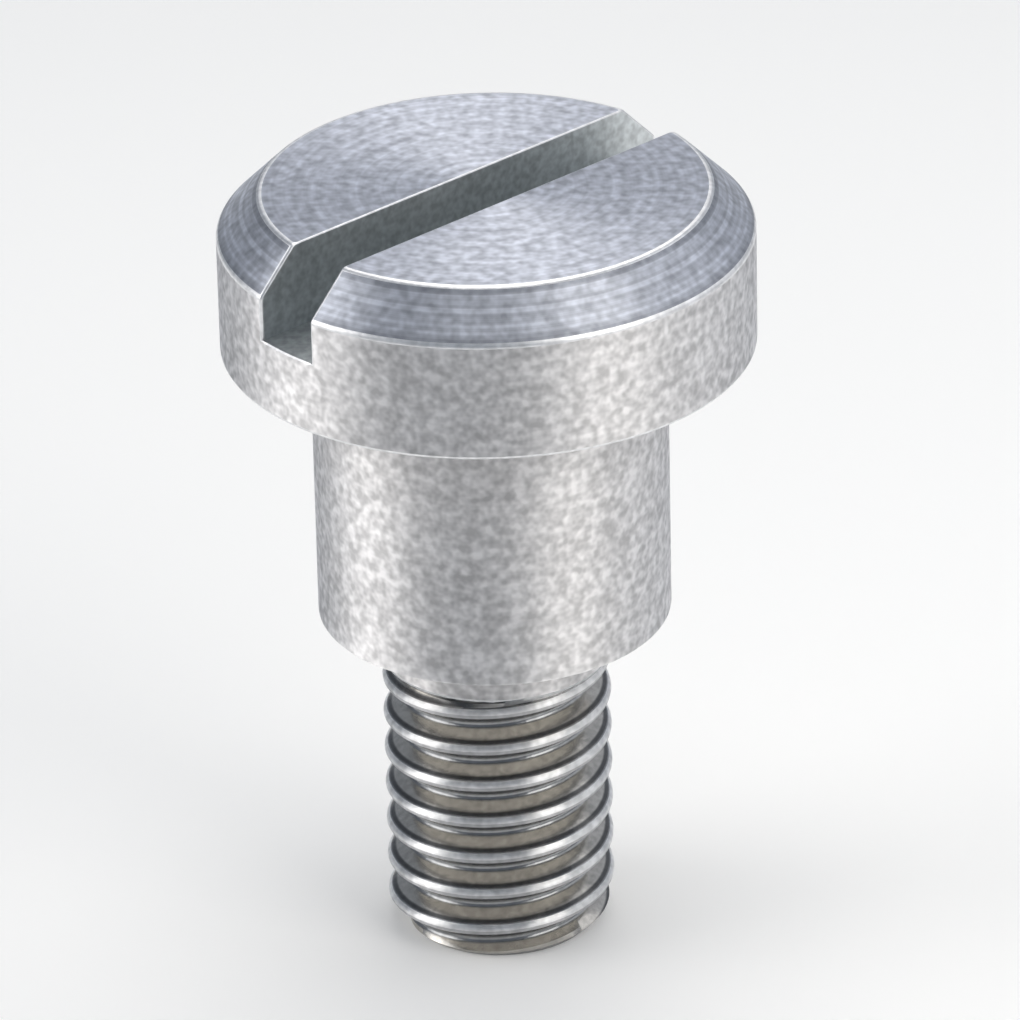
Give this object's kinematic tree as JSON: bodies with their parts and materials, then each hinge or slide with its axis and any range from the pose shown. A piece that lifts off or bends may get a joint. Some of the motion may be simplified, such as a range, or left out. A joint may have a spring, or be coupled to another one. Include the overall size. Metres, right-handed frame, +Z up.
{
  "type": "shoulder bolt",
  "caption": "Slotted flat-head bolt turned in one piece: chamfered round head, plain cylindrical shoulder and a smaller threaded stud.",
  "frame": {"origin": "middle of the thread's tip face, which is the bottom centre of the part", "axes": "+Z up the bolt's axis from the tip to the head; the driver slot runs 42 degrees anticlockwise from +X"},
  "size_m": [0.009, 0.009, 0.0138],
  "materials": {
    "steel": "fine matt turned steel, brighter on the thread"
  },
  "bodies": {
    "root": {"shoulder_bolt": "steel"}
  },
  "joints": []
}
